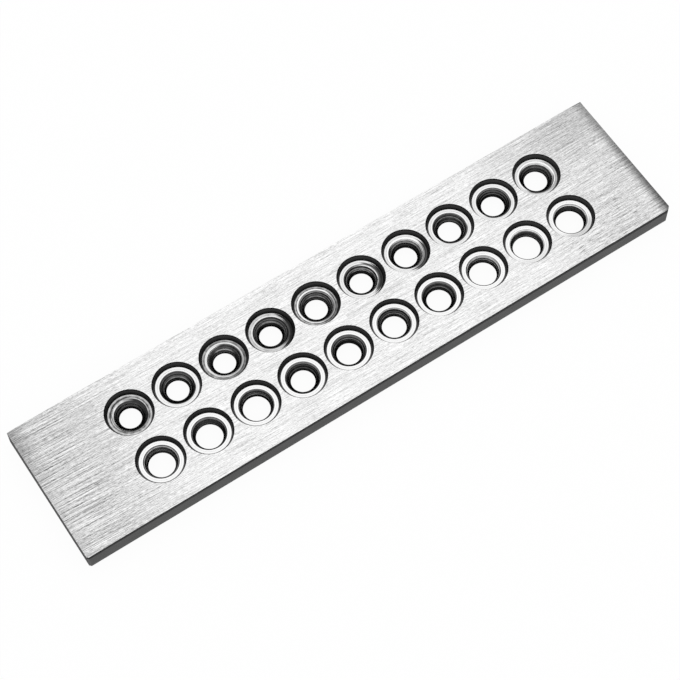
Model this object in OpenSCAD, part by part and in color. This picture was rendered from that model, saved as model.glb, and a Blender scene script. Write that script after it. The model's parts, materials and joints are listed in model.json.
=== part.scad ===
// Wire draw plate: a ground steel bar with two rows of hard-metal dies, graded in size.
// Each die is pressed into a stepped pocket from the front face and rests on a shoulder
// near the back face, against which the wire pulls it. The wire goes in at the front.
// The far row and the middle of the near row hold fine dies, and its two ends coarse ones.
// The bar lies on its back face, centred on the origin, with its length along X.

/* [Dies] */
// Bore of the smallest fine die
fine_bore = 5.75; // [4:0.05:6.5]
// Step in bore from one fine die to the next
fine_step = 0.05; // [0:0.01:0.1]
// Bore of the smallest coarse die
coarse_bore = 6.8; // [6:0.05:8]
// Step in bore from one coarse die to the next
coarse_step = 0.1; // [0:0.02:0.2]
// Coarse dies at each end of the near row
coarse_ends = 3; // [0:1:5]
// Wall left round the largest bore
die_wall = 1.35; // [1.2:0.05:2]
// Flat rim on the front face of a die
rim_w = 0.45; // [0.3:0.05:0.65]
// Depth of the flared bell at the mouth
bell_depth = 0.4; // [0.1:0.05:0.45]
// Included angle of the bell
bell_angle = 90; // [60:5:100]
// Depth of the approach cone that squeezes the wire
approach_depth = 1.4; // [0.8:0.1:3]
// Length of the straight bearing that sizes the wire
bearing_l = 0.5; // [0.2:0.05:1]
// Depth of the back relief behind the bearing
relief_depth = 0.7; // [0.4:0.05:0.9]
// Included angle of the back relief
relief_angle = 70; // [30:5:80]
// Chamfer on the outer edges of a die
die_chamfer = 0.15; // [0.05:0.05:0.3]

/* [Pockets] */
// Rows of dies
rows = 2; // [1:1:3]
// Dies in a row
columns = 10; // [1:1:14]
// Gap all round between a die and its seat
seat_gap = 0.01; // [0:0.005:0.03]
// Thickness of the shoulder that carries a die
shoulder_t = 1; // [0.6:0.1:2]
// How far the shoulder reaches in under a die
shoulder_w = 0.4; // [0.2:0.05:0.6]
// Chamfer where the wire leaves the back face
exit_chamfer = 0.3; // [0.1:0.05:0.5]
// Depth of the recess in front of a die
recess_depth = 1.5; // [0.5:0.1:3]
// Included angle of the recess wall
recess_angle = 54; // [0:2:90]
// Flat steel ring between a die and the recess wall
floor_w = 0.6; // [0.1:0.05:1.5]

/* [Plate] */
// Steel left between neighbouring recesses in a row
web_x = 1.1; // [0.6:0.1:6]
// Steel left between the rows of recesses
web_y = 2.5; // [0.6:0.1:8]
// Plain steel left of the first recess
left_land = 21.8; // [10:0.1:60]
// Plain steel right of the last recess
right_land = 16.8; // [10:0.1:60]
// Plain steel between the far recesses and the far edge
far_land = 5.7; // [2:0.1:20]
// Plain steel between the near recesses and the near edge
near_land = 6.3; // [2:0.1:20]
// Chamfer on the edges of the plate
edge_chamfer = 0.35; // [0.1:0.05:0.6]
// Cut across the near corner at the left end
left_cut = 0.5; // [0.1:0.05:2]
// Cut across the near corner at the right end
right_cut = 1; // [0.1:0.05:2]
// Length at each end over which the ground front face falls away
fall_l = 4; // [2:0.5:9]
// How far the front face has fallen at each end
fall_h = 0.2; // [0.05:0.05:0.6]

/* [Hidden] */
$fn = 96;
// Cutters run this far past the faces they open
over = 1;

// Dies count from the left end, the far row first and the near row last
die_count = rows * columns;
near_start = die_count - columns;
fine_middle = columns - 2 * coarse_ends;
function near_column(i) = i - near_start;
function is_left_coarse(i) = i >= near_start && near_column(i) < coarse_ends;
function is_right_coarse(i) = near_column(i) >= columns - coarse_ends;
function fine_d(i) = fine_bore + fine_step * (i < near_start ? i : i - coarse_ends);
function coarse_d(rank) = coarse_bore + coarse_step * rank;
function bore_d(i) =
    is_left_coarse(i) ? coarse_d(near_column(i)) :
    is_right_coarse(i) ? coarse_d(near_column(i) - fine_middle) :
    fine_d(i);
die_d = max([for (i = [0 : die_count - 1]) bore_d(i)]) + 2 * die_wall;
die_h = bell_depth + approach_depth + bearing_l + relief_depth;
mouth_d = die_d - 2 * rim_w;
knee_d = mouth_d - 2 * bell_depth * tan(bell_angle / 2);

seat_d = die_d + 2 * seat_gap;
exit_d = die_d - 2 * shoulder_w;
floor_d = seat_d + 2 * floor_w;
mouth_z = shoulder_t + die_h;
recess_d = floor_d + 2 * recess_depth * tan(recess_angle / 2);

pitch_x = recess_d + web_x;
pitch_y = recess_d + web_y;
plate_l = left_land + (columns - 1) * pitch_x + recess_d + right_land;
plate_w = near_land + (rows - 1) * pitch_y + recess_d + far_land;
plate_t = mouth_z + recess_depth;
first_x = left_land + recess_d / 2 - plate_l / 2;
first_y = plate_w / 2 - far_land - recess_d / 2;
fall_r = (fall_l * fall_l + fall_h * fall_h) / (2 * fall_h);

function place(i) = [first_x + (i % columns) * pitch_x, first_y - floor(i / columns) * pitch_y, 0];
function die_name(i) = str("die_", i < 9 ? "0" : "", i + 1);

// A flat rectangle about the origin in X, from y = 0 up, with its corners cut off.
// The cuts go round from the low left corner: low left, low right, high right, high left.
module cut_rectangle(w, h, cuts) {
    polygon([
        [-w / 2 + cuts[0], 0], [w / 2 - cuts[1], 0],
        [w / 2, cuts[1]], [w / 2, h - cuts[2]],
        [w / 2 - cuts[2], h], [-w / 2 + cuts[3], h],
        [-w / 2, h - cuts[3]], [-w / 2, cuts[0]]
    ]);
}

// The plate seen from its near side, with the front face rounded down at both ends
module side_view() {
    high = edge_chamfer + fall_h;
    difference() {
        cut_rectangle(plate_l, plate_t, [edge_chamfer, edge_chamfer, high, high]);
        for (side = [0, 1])
            mirror([side, 0])
                translate([plate_l / 2 - fall_l, plate_t])
                    difference() {
                        translate([0, -fall_h - over]) square([fall_l + over, fall_h + 2 * over]);
                        translate([0, -fall_r]) circle(fall_r);
                    }
    }
}

// The bar before its pockets: what its three outlines have in common
module bar() {
    intersection() {
        translate([0, -plate_w / 2, -over])
            linear_extrude(plate_t + 2 * over)
                cut_rectangle(plate_l, plate_w, [left_cut, right_cut, edge_chamfer, edge_chamfer]);
        translate([0, plate_w / 2 + over, 0])
            rotate([90, 0, 0])
                linear_extrude(plate_w + 2 * over)
                    side_view();
        translate([-plate_l / 2 - over, 0, 0])
            rotate([90, 0, 90])
                linear_extrude(plate_l + 2 * over)
                    cut_rectangle(plate_w, plate_t, edge_chamfer * [1, 1, 1, 1]);
    }
}

// Exit hole, shoulder, seat and recess, turned about the axis of one die
module pocket() {
    lean = over * tan(recess_angle / 2);
    rotate_extrude()
        polygon([
            [0, -over],
            [exit_d / 2 + exit_chamfer + over, -over],
            [exit_d / 2, exit_chamfer],
            [exit_d / 2, shoulder_t],
            [seat_d / 2, shoulder_t],
            [seat_d / 2, mouth_z],
            [floor_d / 2, mouth_z],
            [recess_d / 2 + lean, plate_t + over],
            [0, plate_t + over]
        ]);
}

module plate() {
    color([0.86, 0.87, 0.88])
        difference() {
            bar();
            for (i = [0 : die_count - 1])
                translate(place(i)) pocket();
        }
}

// One die: bell, approach cone, bearing and back relief round its own bore
module die(bore) {
    relief_r = bore / 2 + relief_depth * tan(relief_angle / 2);
    color([0.56, 0.57, 0.6])
        translate([0, 0, shoulder_t])
            rotate_extrude()
                polygon([
                    [relief_r, 0],
                    [die_d / 2 - die_chamfer, 0],
                    [die_d / 2, die_chamfer],
                    [die_d / 2, die_h - die_chamfer],
                    [die_d / 2 - die_chamfer, die_h],
                    [mouth_d / 2, die_h],
                    [knee_d / 2, die_h - bell_depth],
                    [bore / 2, relief_depth + bearing_l],
                    [bore / 2, relief_depth]
                ]);
}

plate();
for (i = [0 : die_count - 1])
    translate(place(i)) die(bore_d(i));
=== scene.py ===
import json
import math

import bmesh
import bpy
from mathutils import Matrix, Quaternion, Vector


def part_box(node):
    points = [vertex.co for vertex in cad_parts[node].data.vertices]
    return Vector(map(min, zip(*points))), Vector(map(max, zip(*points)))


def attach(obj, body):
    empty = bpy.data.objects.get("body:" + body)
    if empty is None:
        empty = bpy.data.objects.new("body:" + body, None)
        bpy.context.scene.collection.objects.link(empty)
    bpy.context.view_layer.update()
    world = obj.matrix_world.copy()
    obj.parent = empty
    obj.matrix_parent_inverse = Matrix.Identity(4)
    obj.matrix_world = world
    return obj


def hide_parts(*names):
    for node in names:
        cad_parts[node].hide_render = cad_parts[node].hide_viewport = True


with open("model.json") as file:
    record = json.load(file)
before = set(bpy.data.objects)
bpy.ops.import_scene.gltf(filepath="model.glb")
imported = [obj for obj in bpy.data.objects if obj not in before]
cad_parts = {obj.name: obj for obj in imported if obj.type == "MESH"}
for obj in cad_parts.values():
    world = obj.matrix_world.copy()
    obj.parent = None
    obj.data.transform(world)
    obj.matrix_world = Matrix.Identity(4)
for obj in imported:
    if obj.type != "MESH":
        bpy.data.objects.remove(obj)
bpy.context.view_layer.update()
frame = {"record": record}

# The plate
# A flat of tool steel, sawn to length and ground bright on its two wide faces. The belt runs along the
# length and rounds the front face down where it runs off the ends. The sides are painted dark, as painted
# shade for the dark reflection that they show. The sawn ends are painted black, and so are the filed near
# edge and a band of the side below it, where the black is painted shade.
mm = 0.001
tiny = 0.001 * mm
plate_low, plate_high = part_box("plate")
plate_length, plate_width, plate_thickness = plate_high - plate_low
fall_length = 4 * mm
fall_drop = 0.2 * mm
fall_steps = 6
near_break = 0.15 * mm
other_break_share = 0.7
break_segments = 3
left_cut = 0.5 * mm
right_cut = 1 * mm
# How far the band of painted shade reaches down the near side, at the left end and at the right end
left_shade_band_depth = 0.9 * mm
right_shade_band_depth = 1.2 * mm

bore_mounts = [mount for mount in frame["record"]["mounts"] if mount["kind"] == "bore"]
places = [Vector(mount["pos_m"]) for mount in bore_mounts]
columns = sum(abs(place.y - places[0].y) < tiny for place in places)
rows = len(places) // columns
first_place = places[0]
pitch = places[1].x - first_place.x
row_start = first_place.x - pitch / 2
row_pitch = first_place.y - places[columns].y
middle_y = first_place.y - row_pitch / 2


class Field:
    """A value that changes over a surface: an output of a node, with arithmetic that adds Math nodes."""

    def __init__(self, socket):
        self.socket = socket

    def node(self, kind, settings, sockets, output=0):
        made = self.socket.id_data.nodes.new(kind)
        for name, value in settings.items():
            if name == "stops":
                made.color_ramp.interpolation = "CONSTANT"
                for number, (position, level) in enumerate(value):
                    if number > 1:
                        made.color_ramp.elements.new(position)
                    made.color_ramp.elements[number].position = position
                    made.color_ramp.elements[number].color = (level, level, level, 1)
            else:
                setattr(made, name, value)
        for name, value in sockets.items():
            if isinstance(value, Field):
                self.socket.id_data.links.new(value.socket, made.inputs[name])
            else:
                made.inputs[name].default_value = value
        return Field(made.outputs[output])

    def maths(self, operation, *values):
        return self.node("ShaderNodeMath", {"operation": operation}, dict(enumerate(values)))

    def __add__(self, other):
        return self.maths("ADD", self, other)

    __radd__ = __add__

    def __sub__(self, other):
        return self.maths("SUBTRACT", self, other)

    def __rsub__(self, other):
        return self.maths("SUBTRACT", other, self)

    def __mul__(self, other):
        return self.maths("MULTIPLY", self, other)

    __rmul__ = __mul__

    def __truediv__(self, other):
        return self.maths("DIVIDE", self, other)

    def __mod__(self, other):
        return self.maths("FLOORED_MODULO", self, other)

    def __pow__(self, other):
        return self.maths("POWER", self, other)

    def __abs__(self):
        return self.maths("ABSOLUTE", self)


def new_finish(name, **constants):
    """A metal with these constant sockets. Gives it with its shader and the surface's X, Y and Z."""
    material = bpy.data.materials.new(name)
    material.use_nodes = True
    nodes = material.node_tree.nodes
    shader = nodes["Principled BSDF"]
    shader.inputs["Metallic"].default_value = 1
    for socket, value in constants.items():
        shader.inputs[socket.replace("_", " ")].default_value = value
    point = Field(nodes.new("ShaderNodeTexCoord").outputs["Object"])
    axes = point.node("ShaderNodeSeparateXYZ", {}, {"Vector": point}).socket.node.outputs
    return material, shader, [Field(axes[axis]) for axis in "XYZ"]


def feed(shader, socket, value):
    """Lets a field drive one socket of a shader."""
    shader.id_data.links.new(value.socket, shader.inputs[socket])


def noise(u, v, u_size, v_size, detail=2):
    """Noise from 0 to 1 whose grains are about u_size by v_size."""
    vector = u.node("ShaderNodeCombineXYZ", {}, {"X": u / u_size, "Y": v / v_size})
    settings = {"noise_dimensions": "2D"}
    return u.node("ShaderNodeTexNoise", settings, {"Vector": vector, "Scale": 1, "Detail": detail})


def swing(field, amount):
    """A noise made into a change to either side of nothing, of this amount from end to end."""
    return (field - 0.5) * amount


def ease(value, start, end):
    """0 before start, 1 after end and a smooth rise between them."""
    settings = {"interpolation_type": "SMOOTHSTEP"}
    return value.node("ShaderNodeMapRange", settings, {"Value": value, "From Min": start, "From Max": end})


def bump(height, depth):
    """A normal from a height that is written from 0 to 1 and is this deep."""
    return height.node("ShaderNodeBump", {}, {"Height": height, "Distance": depth, "Strength": 1})


def ground_steel():
    """The wide faces: belt streaks along the length, which drift a little towards the left end."""
    material, shader, (x, y, _) = new_finish("ground_steel", Anisotropic=0.75)
    bright_steel = 0.8
    drift = 0.022
    across = y + x * drift - x * x * (drift / plate_length)
    fine = noise(x, across, 9 * mm, 0.18 * mm)
    dashes = noise(x, across, 1.2 * mm, 0.18 * mm, 1)
    grain = noise(x, across, 0.4 * mm, 0.16 * mm, 0)
    broad = noise(x, across, 30 * mm, 0.6 * mm)
    scores = noise(x, across, 18 * mm, 0.13 * mm, 1)
    specks = noise(x, across, 3 * mm, 0.2 * mm, 0)

    # Painted shade: both ends are darker, as if the light fell off towards them, and darkest where the
    # face rolls down, as painted reflection of darker surroundings
    from_left = x - plate_low.x
    from_right = plate_high.x - x
    to_far = ease(y, 0, plate_width / 2)
    to_near = ease(y, plate_width / 4, -plate_width / 2)
    left_painted_falloff = ease(from_left, 38 * mm, 8 * mm) * (0.28 - to_near * 0.06)
    left_roll_shade = ease(from_left, 5.5 * mm, 0) * (0.08 + to_far * 0.22)
    right_painted_falloff = ease(from_right, 46 * mm, 4 * mm) * (0.17 + to_far * 0.17)
    right_roll_shade = ease(from_right, 3.5 * mm, 0) * (0.52 - to_far * 0.25 + to_near * 0.18)
    painted_shade = left_painted_falloff + left_roll_shade + right_painted_falloff + right_roll_shade

    # The belt bit deeper at the ends, and a patch near the right end has nicks
    left_bite = ease(from_left, 36 * mm, 10 * mm)
    right_bite = ease(from_right, 38 * mm, 8 * mm)
    even_marks = swing(fine, 1.2) + swing(dashes, 0.8) + swing(grain, 0.4) + swing(broad, 0.4)
    left_marks = swing(scores, 2.3) + swing(dashes, 0.6)
    marks = even_marks * (0.93 + right_bite * 0.4) + left_marks * left_bite
    patch_length = ease(from_right, 33 * mm, 26 * mm) * ease(from_right, 5 * mm, 8 * mm)
    patch = patch_length * ease(y, -8 * mm, -10 * mm)
    nicks = ease(specks, 0.72, 0.79) * patch

    steel = bright_steel * (1 - painted_shade) * (1 + marks) * (1 - nicks * 0.6)
    feed(shader, "Base Color", steel.maths("MINIMUM", steel, 1))
    feed(shader, "Roughness", 0.33 + swing(broad, 0.12))
    feed(shader, "Normal", bump(fine + broad, 0.002 * mm))
    cross_belt = x.node("ShaderNodeCombineXYZ", {}, {"X": 0, "Y": 1, "Z": 0})
    feed(shader, "Tangent", cross_belt)
    return material


def dark_steel():
    """The long sides: painted dark as painted shade, standing in for their dark reflection, with faint
    lines along them.
    """
    material, shader, (x, _, z) = new_finish("dark_steel")
    lines = noise(x, z, 12 * mm, 0.3 * mm)
    patches = noise(x, z, 6 * mm, 3 * mm, 3)
    feed(shader, "Base Color", 0.046 * (1 + swing(lines, 0.8) + swing(patches, 0.8)))
    feed(shader, "Roughness", 0.42 + swing(patches, 0.2))
    feed(shader, "Normal", bump(lines, 0.003 * mm))
    return material


def black_scale():
    """The sawn ends, the filed near edge and a band below it: painted black, with a little grey rubbed
    through. On the near edge and the band, the black is painted shade.
    """
    material, shader, (x, y, z) = new_finish("black_scale", Metallic=0, Specular_IOR_Level=0.1)
    rubbed = noise(x + y, z, 3 * mm, 0.8 * mm, 3)
    feed(shader, "Base Color", 0.012 + rubbed * 0.02)
    feed(shader, "Roughness", 0.6 + swing(rubbed, 0.2))
    return material


def pick(kind, test):
    """Selects the vertices, edges or faces of the open mesh that pass a test, and nothing else."""
    bpy.ops.mesh.select_mode(type={"verts": "VERT", "edges": "EDGE", "faces": "FACE"}[kind])
    bpy.ops.mesh.select_all(action="DESELECT")
    data = bpy.context.object.data
    for part in getattr(bmesh.from_edit_mesh(data), kind):
        if test(part):
            part.select_set(True)
    bmesh.update_edit_mesh(data)


def add_finish(piece, finish):
    """Gives a piece one more finish, and says which slot it is in."""
    piece.data.materials.append(finish)
    return len(piece.data.materials) - 1


def paint(slot, test):
    """Gives the faces of the open mesh that pass a test the finish in this slot."""
    pick("faces", test)
    bpy.context.object.active_material_index = slot
    bpy.ops.object.material_slot_assign()


def slice_at(point, normal, trim=False):
    """Cuts a loop of edges right round the open mesh, and takes off what lies beyond if trim is set."""
    bpy.ops.mesh.select_all(action="SELECT")
    bpy.ops.mesh.bisect(plane_co=point, plane_no=normal, clear_outer=trim, use_fill=trim)


def apply_modifier(piece, kind, **settings):
    """Adds a modifier to the active piece with these settings and applies it."""
    modifier = piece.modifiers.new(kind.lower(), kind)
    for name, value in settings.items():
        setattr(modifier, name, value)
    bpy.ops.object.modifier_apply(modifier=modifier.name)


def smooth(piece, angle):
    """Shades a finished piece smooth, apart from edges over an angle, with flat faces kept flat."""
    bpy.ops.object.shade_smooth_by_angle(angle=math.radians(angle))
    apply_modifier(piece, "WEIGHTED_NORMAL", keep_sharp=True)


bpy.ops.object.select_all(action="DESELECT")
bpy.ops.mesh.primitive_cube_add(
    size=1, location=(plate_low + plate_high) / 2, scale=plate_high - plate_low
)
plate = bpy.context.object
plate.name = "draw_plate"
bpy.ops.object.transform_apply()
add_finish(plate, ground_steel())
side_slot = add_finish(plate, dark_steel())
black_slot = add_finish(plate, black_scale())

bpy.ops.object.mode_set(mode="EDIT")
flat_half = plate_length / 2 - fall_length
for step in range(fall_steps):
    for end in (-1, 1):
        slice_at((end * (flat_half + fall_length * step / fall_steps), 0, 0), (1, 0, 0))
for column in range(columns + 1):
    slice_at((row_start + column * pitch, 0, 0), (1, 0, 0))
for row in range(rows + 1):
    slice_at((0, first_place.y + (0.5 - row) * row_pitch, 0), (0, 1, 0))

fall_radius = (fall_length**2 + fall_drop**2) / (2 * fall_drop)
for step in range(1, fall_steps + 1):
    run = fall_length * step / fall_steps
    pick(
        "verts",
        lambda vert: vert.co.z > plate_high.z - tiny and abs(abs(vert.co.x) - flat_half - run) < tiny,
    )
    drop = fall_radius - math.sqrt(fall_radius**2 - run**2)
    bpy.ops.transform.translate(value=(0, 0, -drop))
for end, cut in ((-1, left_cut), (1, right_cut)):
    slice_at((end * (plate_length / 2 - cut), -plate_width / 2, 0), (end, -1, 0), trim=True)

outline_angle = math.radians(60)
pick("edges", lambda edge: edge.calc_face_angle() > outline_angle)
bpy.ops.transform.edge_bevelweight(value=other_break_share)
pick("edges", lambda edge: edge.calc_face_angle() > outline_angle and all(
    vert.co.y < tiny - plate_width / 2 and vert.co.z > plate_thickness / 2 for vert in edge.verts
))
bpy.ops.transform.edge_bevelweight(value=1)
bpy.ops.object.mode_set(mode="OBJECT")
apply_modifier(plate, "BEVEL", width=near_break, segments=break_segments, limit_method="WEIGHT")
bpy.ops.object.mode_set(mode="EDIT")
# The band of painted shade along the near side ends at a slanted line
shade_band_slope = (right_shade_band_depth - left_shade_band_depth) / plate_length
shade_band_middle = plate_high.z - (left_shade_band_depth + right_shade_band_depth) / 2
slice_at((0, 0, shade_band_middle), (shade_band_slope, 0, 1))

# The faces are told apart by how far their normals lean
flat_normal = 0.98
end_normal = 0.9
upright_normal = 0.1
# Painted shade: the long sides get the finish that is painted dark
paint(side_slot, lambda face: -flat_normal < face.normal.z < upright_normal)
paint(black_slot, lambda face: abs(face.normal.x) > end_normal)
# Painted shade: the filed near edge and a band of the near side below it are painted black
paint(black_slot, lambda face: face.normal.y < -upright_normal and face.normal.z < flat_normal and (
    face.calc_center_median().z > shade_band_middle - shade_band_slope * face.calc_center_median().x
))
bpy.ops.object.mode_set(mode="OBJECT")

# The pockets
# Each die sits in a stepped pocket, bored from the front: an exit hole, a shoulder, a seat, and a wide
# recess with a leaning wall. One cutter is turned and copied along both rows, then taken from the plate.
die_low, die_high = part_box("die_01")
die_radius = (die_high.x - die_low.x) / 2
seat_gap = 0.01 * mm
seat_radius = die_radius + seat_gap
shoulder_height = die_low.z
floor_height = die_high.z
exit_radius = 4.6 * mm
exit_chamfer = 0.3 * mm
floor_width = 0.6 * mm
floor_radius = seat_radius + floor_width
wall_lean = math.tan(math.radians(27))
recess_radius = floor_radius + (plate_high.z - floor_height) * wall_lean
recess_break = 0.02 * mm
corner_radius = 0.03 * mm
cutter_over = 0.3 * mm
round_sides = 128

# Marks on the flat ring round each die of the far row, from the left: grime all round it, a darkening over
# one side, and that side, in degrees from +X. The near row has two light smears, on ring and die alike.
ring_grime = [0.55, 0.05, 0.65, 0.35, 0.65, 0.1, 0.12, 0.1, 0.1, 0.2]
ring_side_darkening = [0, 0, 0.5, 0.97, 0.7, 1, 0.95, 0, 0, 0.4]
ring_darkened_side = [0, 0, 313, 338, 308, 336, 318, 0, 0, 338]
near_smear = [0, 0, 0, 0, 0, 0, 0, 0, 0.12, 0.3]
near_smear_side = [280] * columns


def about_axis(x, y):
    """The axis of the nearest die as one number, offsets along X and Y from it and the distance."""
    along = (x - row_start) % pitch - pitch / 2
    off_middle = y - middle_y
    across = off_middle - off_middle.maths("SIGN", off_middle) * (row_pitch / 2)
    return (x - along) + (y - across), along, across, (along * along + across * across) ** 0.5


def by_column(x, levels):
    """One level for each die of a row, counted from the left."""
    stops = [(number / columns, level) for number, level in enumerate(levels)]
    share = (x - row_start) / (columns * pitch)
    return x.node("ShaderNodeValToRGB", {"stops": stops}, {"Fac": share})


def by_die(x, y, far_levels, near_levels=(0,) * columns):
    """One level for each die of the far row and of the near row."""
    is_far = ease(y, middle_y - tiny, middle_y + tiny)
    return by_column(x, far_levels) * is_far + by_column(x, near_levels) * (1 - is_far)


def towards(along, across, side):
    """1 on this side of a die, given in degrees from +X, and -1 on the opposite side."""
    angle = along.maths("ARCTAN2", across, along) - side * math.radians(1)
    return angle.maths("COSINE", angle)


def brightness(x, y, grime_levels, darkening_levels, darkened_sides):
    """How bright the flat round a die is, from 1 on clean metal to 0 under old oil and soot, and darker
    over one side where a level is given.
    """
    axis, along, across, radius = about_axis(x, y)
    grime = by_die(x, y, grime_levels)
    lines = ease(noise(radius, axis, 0.2 * mm, 3 * mm), 0.3, 0.7)
    blots = ease(noise(x, y, 1.4 * mm, 1.4 * mm, 3), 0.35, 0.65)
    joint = 1 - ease(abs(radius - seat_radius), 0.08 * mm, 0.3 * mm)
    facing = towards(along, across, by_die(x, y, darkened_sides, near_smear_side))
    on_darkened_side = ease(facing + swing(lines, 0.4), 0.45, 0.72)
    scuffed = grime * (0.45 + lines * 0.4 + blots * 0.35)
    packed = grime * joint * (0.5 + blots * 0.5)
    side_darkening = by_die(x, y, darkening_levels, near_smear) * on_darkened_side * (0.93 + lines * 0.07)
    return (1 - scuffed) * (1 - packed) * (1 - side_darkening)


def turned_wall():
    """The wall of each recess: cut by a form tool that leaves rings, and painted near black as painted
    shade in the recess.
    """
    material, shader, (x, y, z) = new_finish("turned_wall")
    rings = noise(z, z, 0.12 * mm, 100 * mm)
    soot = noise(x, y, 4 * mm, 4 * mm, 3)
    above_floor = z - floor_height
    below_face = plate_high.z - z
    # Painted shade: darkest at the face and at the floor, a little lighter between them
    lit_wall_middle = ease(above_floor, 0.1 * mm, 0.6 * mm) * ease(below_face, 0.1 * mm, 0.5 * mm)
    feed(shader, "Base Color", (0.01 + lit_wall_middle * 0.03) * (1 + swing(rings, 0.8) + swing(soot, 0.6)))
    feed(shader, "Roughness", 0.36 + swing(soot, 0.2))
    feed(shader, "Normal", bump(rings, 0.003 * mm))
    return material


def faced_ring():
    """The flat step round each die: faced bright with the recess, with fine rings from the tool."""
    material, shader, (x, y, _) = new_finish("faced_ring")
    axis, _, _, radius = about_axis(x, y)
    rings = noise(radius, axis, 0.12 * mm, 3 * mm)
    clean = brightness(x, y, ring_grime, ring_side_darkening, ring_darkened_side)
    feed(shader, "Base Color", (0.86 + swing(rings, 0.1)) * clean)
    feed(shader, "Roughness", 0.45 - clean * 0.25)
    feed(shader, "Normal", bump(rings, 0.001 * mm))
    return material


def bored_steel():
    """The seats and exit holes: drilled and reamed, with feed lines round the bore."""
    material, shader, (_, _, z) = new_finish("bored_steel")
    rings = noise(z, z, 0.1 * mm, 100 * mm)
    feed(shader, "Base Color", 0.4 + swing(rings, 0.2))
    feed(shader, "Roughness", 0.34 + swing(rings, 0.2))
    feed(shader, "Normal", bump(rings, 0.003 * mm))
    return material


def turn(name, axis, profile):
    """A round mesh about an upright axis: a circle, drawn out and resized to each radius and height."""
    bpy.ops.object.select_all(action="DESELECT")
    radius, height = profile[0]
    bpy.ops.mesh.primitive_circle_add(
        vertices=round_sides, radius=radius, location=(axis.x, axis.y, height)
    )
    piece = bpy.context.object
    piece.name = name
    bpy.ops.object.transform_apply()
    bpy.ops.object.mode_set(mode="EDIT")
    bpy.ops.mesh.select_all(action="SELECT")
    for next_radius, next_height in profile[1:]:
        lift = (0, 0, next_height - height)
        bpy.ops.mesh.extrude_edges_move(TRANSFORM_OT_translate={"value": lift})
        share = next_radius / radius
        bpy.ops.transform.resize(
            value=(share, share, 1), center_override=(axis.x, axis.y, next_height)
        )
        radius, height = next_radius, next_height
    return piece


cutter = turn(
    "pocket_cutter",
    first_place,
    [
        (exit_radius + exit_chamfer + cutter_over, -cutter_over),
        (exit_radius, exit_chamfer),
        (exit_radius, shoulder_height),
        (seat_radius, shoulder_height),
        (seat_radius, floor_height),
        (floor_radius - corner_radius, floor_height),
        (floor_radius + corner_radius * wall_lean / 2, floor_height + corner_radius / 2),
        (floor_radius + corner_radius * wall_lean * 2, floor_height + corner_radius * 2),
        (recess_radius - recess_break * wall_lean, plate_high.z - recess_break),
        (recess_radius + recess_break + cutter_over * (1 + wall_lean), plate_high.z + cutter_over),
    ],
)
bpy.ops.mesh.select_all(action="SELECT")
bpy.ops.mesh.fill_holes(sides=0)
bpy.ops.mesh.select_all(action="SELECT")
bpy.ops.mesh.normals_make_consistent(inside=False)
wall_slot = add_finish(plate, turned_wall())
ring_slot = add_finish(plate, faced_ring())
bore_slot = add_finish(plate, bored_steel())
for finish in plate.data.materials:
    add_finish(cutter, finish)
paint(bore_slot, lambda face: face.calc_center_median().z < floor_height - tiny)
paint(ring_slot, lambda face: abs(face.calc_center_median().z - floor_height) < tiny)
paint(wall_slot, lambda face: face.calc_center_median().z > floor_height + tiny)
bpy.ops.object.mode_set(mode="OBJECT")
for count, offset in ((columns, (pitch, 0, 0)), (rows, (0, -row_pitch, 0))):
    apply_modifier(
        cutter,
        "ARRAY",
        count=count,
        use_relative_offset=False,
        use_constant_offset=True,
        constant_offset_displace=offset,
    )

bpy.ops.object.select_all(action="DESELECT")
plate.select_set(True)
bpy.context.view_layer.objects.active = plate
apply_modifier(
    plate, "BOOLEAN", operation="DIFFERENCE", solver="EXACT", material_mode="INDEX", object=cutter
)
bpy.data.objects.remove(cutter)
smooth(plate, angle=40)
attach(plate, "root")
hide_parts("plate")

# The dies
# Twenty rings of cemented carbide, ground outside and lapped inside, pressed into their seats until they
# stand on the shoulder. A bell opens into a cone that squeezes the wire, a short bearing and a relief.
rim_width = 0.45 * mm
rim_break = 0.02 * mm
lip_round = 0.06 * mm
knee_round = 0.08 * mm
entry_round = 0.2 * mm
round_segments = 4
foot_chamfer = 0.15 * mm
bell_depth = 0.4 * mm
relief_lean = math.tan(math.radians(35))
mouth_radius = die_radius - rim_width
knee_radius = mouth_radius - bell_depth
knee_height = die_high.z - bell_depth
half_bearing = bore_mounts[0]["dims"]["length_mm"] * mm / 2
bearing_low = first_place.z - half_bearing
bearing_high = first_place.z + half_bearing

# Marks on the dies of the far row, from the left: grime and a darkening over one side of the rim, painted
# shade along the lip, a worn band in the cone with a painted highlight, and a painted highlight on the
# bell. All but the grime have a side.
rim_grime = [0.7, 0.05, 0.2, 0.2, 0.05, 0.1, 0, 0.05, 0.05, 0]
rim_side_darkening = [0.75, 0, 0.3, 0.93, 0.6, 0.9, 0.75, 0, 0, 0.8]
rim_darkened_side = [115, 0, 323, 333, 318, 353, 318, 0, 0, 253]
lip_near_shade = [0.8, 0.9, 0.4, 0.6, 0.6, 0, 0.4, 0.9, 0.9, 1]
lip_shade_side = -85
worn_band_highlight = [0.4, 0.2, 1, 0.5, 0.5, 1.2, 0, 0.2, 0.2, 0]
band_highlight_side = 58
band_height = bearing_high + 0.67 * mm
bell_highlight = [5, 0, 4, 0, 0, 1.8, 3.4, 0, 0, 3.6]
bell_highlight_side = [160, 0, 180, 0, 0, 340, 15, 0, 0, 25]

# How bright the bells and cones of both rows are painted, from the left, where 1 is the usual, as painted
# light and shade
bell_shine = [0.2, 0.4, 0.3, 0.15, 0.6, 0.25, 0.6, 0.4, 0.4, 0.5]
cone_shine = [0.8, 1.1, 1.2, 0.7, 1.5, 0.8, 0.7, 1.1, 1.1, 0.4]
near_bell_shine = [1, 1, 1, 1, 0.8, 1, 1, 2.6, 2.4, 1.9]
near_cone_shine = [1, 1, 1, 1, 0.8, 0.8, 0.8, 1.4, 1, 1.4]


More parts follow.
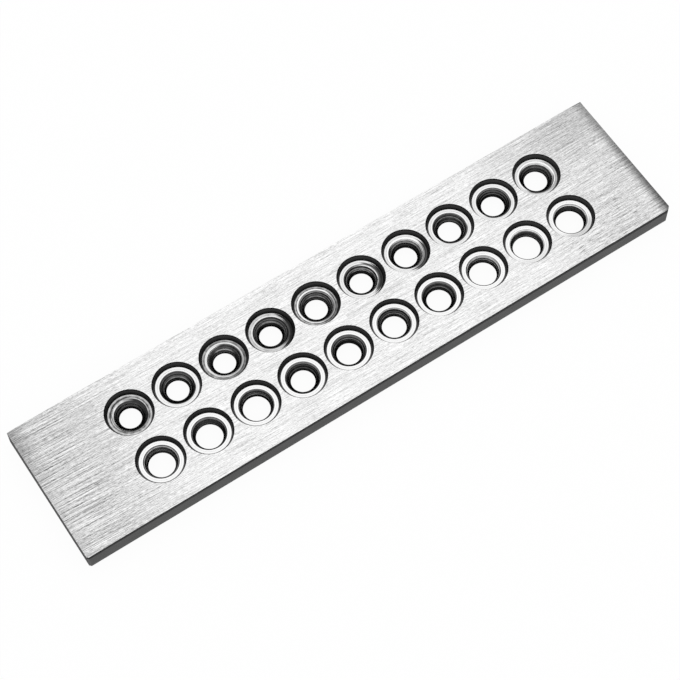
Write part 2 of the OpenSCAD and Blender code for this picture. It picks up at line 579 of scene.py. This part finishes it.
def lapped_carbide():
    """The faces and outside of a die: bright, with very fine rings, dirty on some dies, darker over one
    side of some rims, and with painted shade along the lip on the near side.
    """
    material, shader, (x, y, _) = new_finish("lapped_carbide")
    axis, along, across, radius = about_axis(x, y)
    rings = noise(radius, axis, 0.08 * mm, 3 * mm)
    # Painted shade: on the far row's dies, the rim darkens along the lip on its near side
    lip = ease(radius, mouth_radius + 0.28 * mm, mouth_radius + 0.12 * mm)
    lip_shaded_side = ease(towards(along, across, lip_shade_side), 0.25, 0.6)
    lip_shade = by_die(x, y, lip_near_shade) * lip * lip_shaded_side
    clean = brightness(x, y, rim_grime, rim_side_darkening, rim_darkened_side) * (1 - lip_shade)
    feed(shader, "Base Color", (0.9 + swing(rings, 0.08)) * clean)
    feed(shader, "Roughness", 0.43 - clean * 0.25)
    feed(shader, "Normal", bump(rings, 0.001 * mm))
    return material


def drawing_cone():
    """The inside of a die: carbide lapped in rings, painted near black as painted shade in the hole,
    darkest at the bearing.
    """
    # The dark tint keeps the cone black where it is seen at a slant, as part of its painted shade
    slant_tint = (0.05, 0.05, 0.05, 1)
    material, shader, (x, y, z) = new_finish("drawing_cone", Specular_Tint=slant_tint)
    axis, along, across, _ = about_axis(x, y)
    rings = noise(z, axis, 0.36 * mm, 3 * mm, 1)
    lines = ease(rings, 0.55, 0.66)
    wax = noise(x, y, 1.5 * mm, 1.5 * mm, 3)
    # Painted shade: the cone is darker towards the bearing, deep in the hole
    clear = ease(z, bearing_high - 0.3 * mm, knee_height - 0.6 * mm)
    # Painted highlight: the bell is lighter, and on some dies much lighter on one side
    bell = ease(z, knee_height - 0.1 * mm, knee_height)
    highlight_side = ease(towards(along, across, by_die(x, y, bell_highlight_side)), -0.5, 0.6)
    bell_level = by_die(x, y, bell_shine, near_bell_shine) + by_die(x, y, bell_highlight) * highlight_side
    cone_level = by_die(x, y, cone_shine, near_cone_shine)
    shine = cone_level + bell * (bell_level - cone_level)
    # A worn band in the cone, rubbed by the wire, with a painted highlight on its far side
    band = ease(abs(z - band_height), 0.2 * mm, 0.08 * mm)
    band_lit_side = ease(towards(along, across, band_highlight_side), 0.65, 0.9)
    rubbed = by_die(x, y, worn_band_highlight) * band * band_lit_side
    painted_cone_light = clear * (0.065 + lines * 0.28 + bell * 0.08) * shine + rubbed * 0.3
    feed(shader, "Base Color", 0.012 + painted_cone_light * (1 + swing(wax, 1.2)))
    feed(shader, "Roughness", 0.24 + swing(wax, 0.15))
    feed(shader, "Normal", bump(rings, 0.2 * mm))
    return material


bright_carbide = lapped_carbide()
cone_carbide_shaded = drawing_cone()
for mount, place in zip(bore_mounts, places):
    node = mount["name"].replace("wire_bore", "die")
    bore_radius = mount["dims"]["r_mm"] * mm
    relief_radius = bore_radius + (bearing_low - die_low.z) * relief_lean
    die = turn(
        f"fitted_{node}",
        place,
        [
            (bore_radius, bearing_low),
            (relief_radius, die_low.z),
            (die_radius - foot_chamfer, die_low.z),
            (die_radius, die_low.z + foot_chamfer),
            (die_radius, die_high.z - rim_break),
            (die_radius - rim_break, die_high.z),
            (mouth_radius, die_high.z),
            (knee_radius, knee_height),
            (bore_radius, bearing_high),
        ],
    )
    pick("edges", lambda edge: edge.is_boundary)
    bpy.ops.mesh.bridge_edge_loops()
    bpy.ops.mesh.select_all(action="SELECT")
    bpy.ops.mesh.normals_make_consistent(inside=False)
    add_finish(die, bright_carbide)
    cone_slot = add_finish(die, cone_carbide_shaded)
    paint(cone_slot, lambda face: face.normal.xy.dot(face.calc_center_median().xy - place.xy) < -tiny)
    for radius, height, size in (
        (mouth_radius, die_high.z, lip_round),
        (knee_radius, knee_height, knee_round),
        (bore_radius, bearing_high, entry_round),
    ):
        pick("edges", lambda edge: all(
            abs((vert.co.xy - place.xy).length - radius) < tiny and abs(vert.co.z - height) < tiny
            for vert in edge.verts
        ))
        bpy.ops.mesh.bevel(offset=size, segments=round_segments, affect="EDGES")
    bpy.ops.object.mode_set(mode="OBJECT")
    smooth(die, angle=25)
    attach(die, "root")
    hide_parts(node)

# The floor
# A plain white board just under the plate. The camera sees it white, and so does the metal where the
# plate leaves it uncovered. A trace of the plate's soft shadow stays on it.
floor_size = 6
floor_gap = 0.1 * mm
floor_fade = 2 * mm
paper_grey = 0.9
whiteness = 0.95
bpy.ops.object.select_all(action="DESELECT")
bpy.ops.mesh.primitive_plane_add(size=floor_size, location=(0, 0, -floor_gap))
floor = bpy.context.object
floor.name = "floor"
board = bpy.data.materials.new("white_board")
board.use_nodes = True
board.node_tree.nodes.clear()
seen_by = board.node_tree.nodes.new("ShaderNodeLightPath").outputs
point = Field(board.node_tree.nodes.new("ShaderNodeTexCoord").outputs["Object"])
spread = point.node("ShaderNodeSeparateXYZ", {}, {"Vector": point}).socket.node.outputs
past_end = ease(abs(Field(spread["X"])), plate_length / 2 - floor_fade, plate_length / 2)
past_side = ease(abs(Field(spread["Y"])), plate_width / 2 - floor_fade, plate_width / 2)
mirrored = Field(seen_by["Is Glossy Ray"]) + Field(seen_by["Is Transmission Ray"])
seen = Field(seen_by["Is Camera Ray"]) + mirrored * past_end.maths("MAXIMUM", past_end, past_side)
paper = seen.node("ShaderNodeBsdfDiffuse", {}, {"Color": (paper_grey, paper_grey, paper_grey, 1)})
glow = seen.node("ShaderNodeEmission", {}, {"Color": (1, 1, 1, 1), "Strength": 1})
white = seen.node("ShaderNodeMixShader", {}, {0: seen * whiteness, 1: paper, 2: glow})
surface = board.node_tree.nodes.new("ShaderNodeOutputMaterial")
board.node_tree.links.new(white.socket, surface.inputs["Surface"])
floor.data.materials.append(board)

# The room and the lamp
# The room is an even white, so that each finish shows about as it is written. A faint soft box hangs over
# the plate, gives its face a sheen and casts its shadow.
room = bpy.data.worlds.new("room")
bpy.context.scene.world = room
room.use_nodes = True
room.node_tree.nodes["Background"].inputs["Color"].default_value = (1, 1, 1, 1)
box_width = 0.62
box_length = 1.2
box_level = 0.12
lamp = bpy.data.lights.new("soft_box", "AREA")
lamp.shape = "RECTANGLE"
lamp.size = box_width
lamp.size_y = box_length
lamp.energy = box_level * math.pi * box_width * box_length
soft_box = bpy.data.objects.new("soft_box", lamp)
bpy.context.scene.collection.objects.link(soft_box)
soft_box.location = (0.091, 0.25, 0.6)
soft_box.rotation_euler.z = math.radians(15)

# The camera
# It stands to the left of the near edge and looks well down, with a long lens that is rolled a little,
# so that the plate lies across the square picture from corner to corner.
aim = Vector((-0.0051, -0.0043, plate_high.z))
distance = 0.5164
azimuth = math.radians(-31.76)
elevation = math.radians(62.99)
roll = math.radians(-1.73)
lens = bpy.data.cameras.new("camera")
lens.sensor_width = 36
lens.lens = 108.13
camera = bpy.data.objects.new("camera", lens)
bpy.context.scene.collection.objects.link(camera)
back = Vector((
    math.sin(azimuth) * math.cos(elevation),
    -math.cos(azimuth) * math.cos(elevation),
    math.sin(elevation),
))
camera.location = aim + back * distance
camera.rotation_mode = "QUATERNION"
camera.rotation_quaternion = (-back).to_track_quat("-Z", "Y") @ Quaternion((0, 0, 1), roll)
bpy.context.scene.camera = camera
bpy.context.scene.view_settings.view_transform = "Standard"
